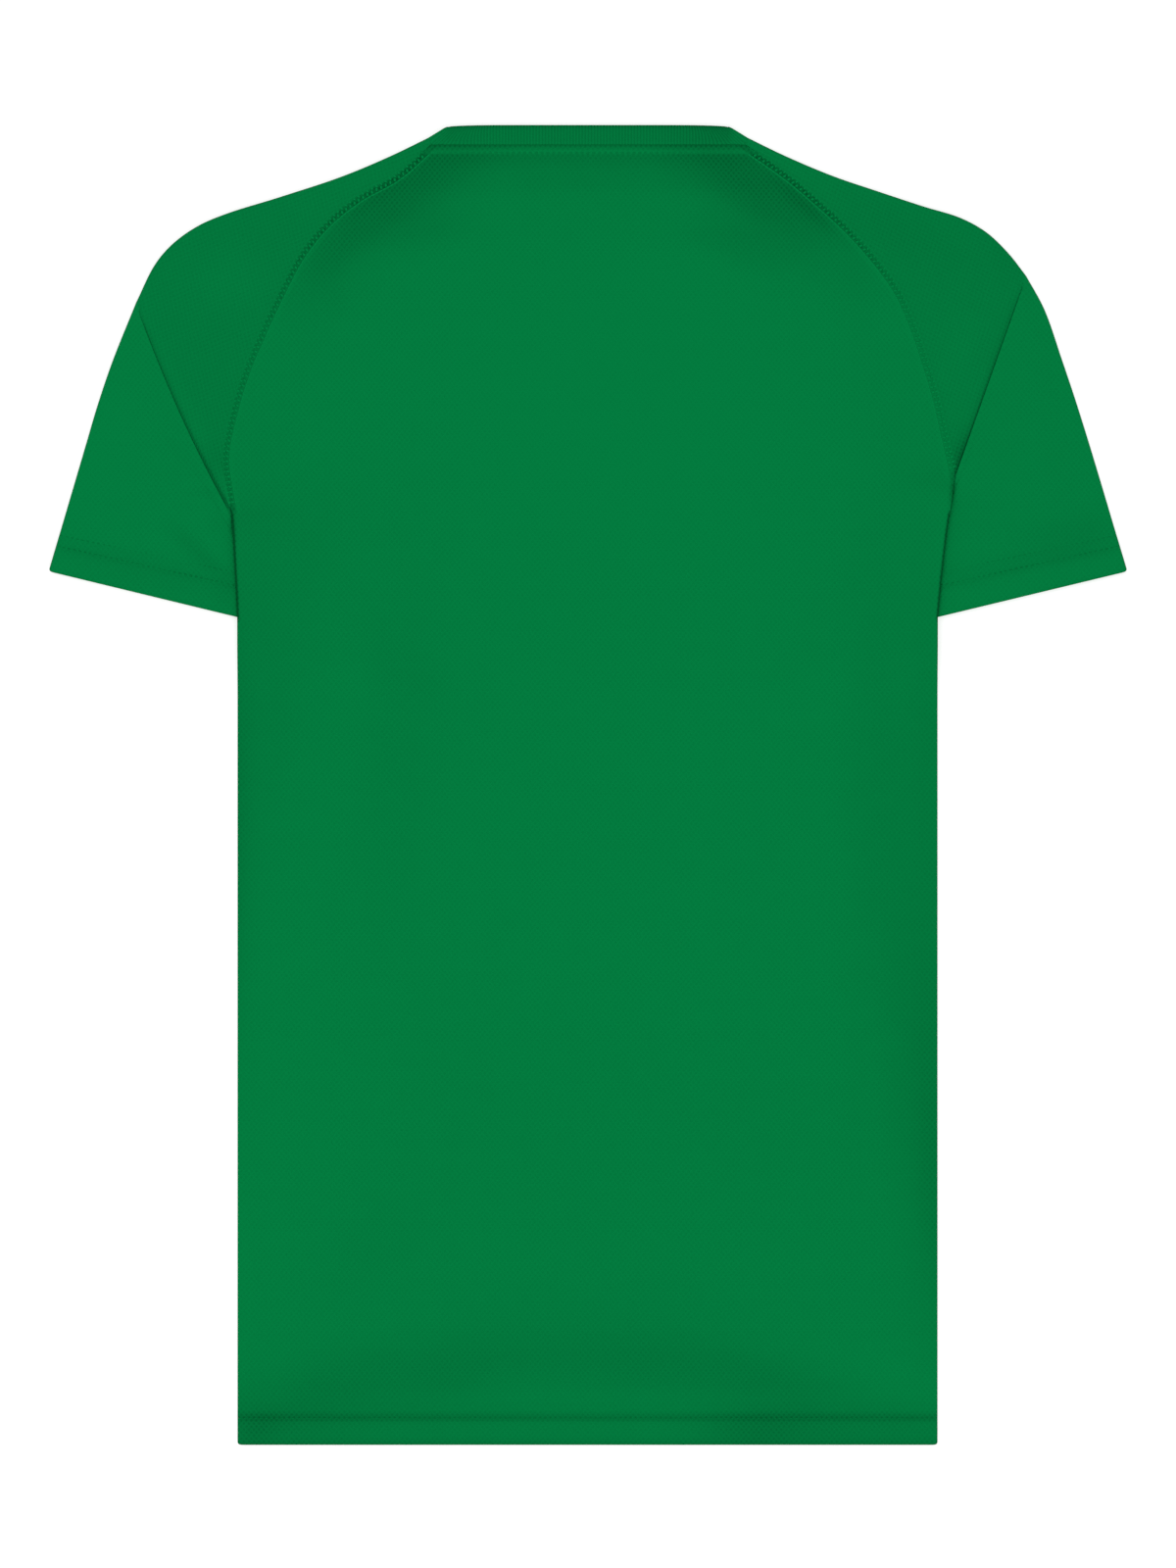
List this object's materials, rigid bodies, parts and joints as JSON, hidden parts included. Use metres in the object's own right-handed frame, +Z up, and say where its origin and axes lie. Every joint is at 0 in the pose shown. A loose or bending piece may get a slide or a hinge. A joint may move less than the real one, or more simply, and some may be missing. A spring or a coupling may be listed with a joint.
{
  "type": "running t-shirt",
  "caption": "Short-sleeved crew-neck running t-shirt with raglan sleeves in plain green mesh knit, laid flat with its back up and its sleeves turned down.",
  "frame": {"origin": "on the surface that carries the shirt, under the middle of its box", "axes": "+Z up, away from the surface; +Y from the hem towards the neck; +X to the right when the back is looked at from above"},
  "size_m": [0.5886, 0.72, 0.0056],
  "materials": {
    "knit": "green polyester birdseye mesh knit, soft dull sheen",
    "rib": "fine green rib knit, matt, a little darker than the mesh"
  },
  "bodies": {
    "root": {"front": "knit", "back": "knit", "sleeve_left": "knit", "sleeve_right": "knit", "neckband": "rib"}
  },
  "joints": []
}
